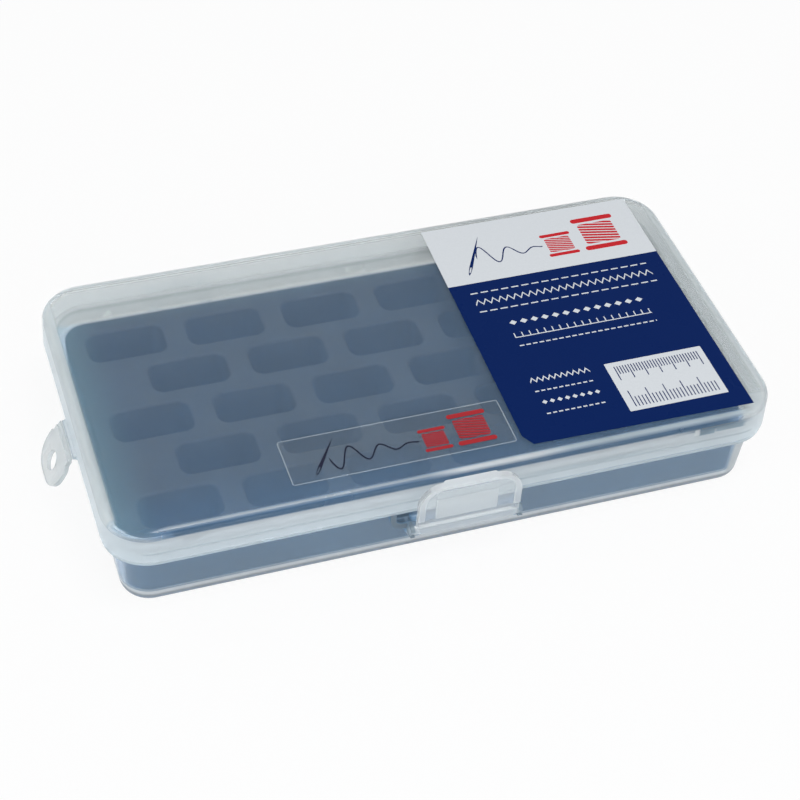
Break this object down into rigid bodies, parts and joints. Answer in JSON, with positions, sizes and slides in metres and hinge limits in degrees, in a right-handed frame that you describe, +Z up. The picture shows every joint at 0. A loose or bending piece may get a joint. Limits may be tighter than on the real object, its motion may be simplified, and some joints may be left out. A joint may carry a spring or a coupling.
{
  "type": "thread spool storage box",
  "caption": "Low clear plastic box with a hinged lid, a front snap latch, a fold-out hang tab and a slotted foam insert that holds thread spools on edge.",
  "frame": {"origin": "centre of the base's underside, on the surface the box stands on", "axes": "+X towards the right end, away from the hang tab; +Y towards the hinge; +Z up"},
  "size_m": [0.1878, 0.1031, 0.0301],
  "materials": {
    "clear_plastic": "frosted clear polypropylene",
    "latch_plastic": "milky polypropylene",
    "foam": "dark grey-blue foam",
    "label_paper": "printed coated paper",
    "sticker_film": "clear printed film"
  },
  "bodies": {
    "base": {"base": "clear_plastic", "foam_insert": "foam"},
    "lid": {"lid": "clear_plastic", "label": "label_paper", "clear_sticker": "sticker_film"},
    "latch": {"latch": "latch_plastic"},
    "hang_tab": {"hang_tab": "clear_plastic"}
  },
  "joints": [
    {"name": "lid_hinge", "type": "hinge", "parent": "base", "child": "lid", "pos_m": [0, 0.0503, 0.0182], "axis": [-1, 0, 0], "range_deg": [0, 180]},
    {"name": "latch_hinge", "type": "hinge", "parent": "base", "child": "latch", "pos_m": [0, -0.0487, 0.0132], "axis": [1, 0, 0], "range_deg": [0, 120]},
    {"name": "hang_tab_hinge", "type": "hinge", "parent": "base", "child": "hang_tab", "pos_m": [-0.0912, 0, 0.0191], "axis": [0, 1, 0], "range_deg": [-25, 70]}
  ]
}
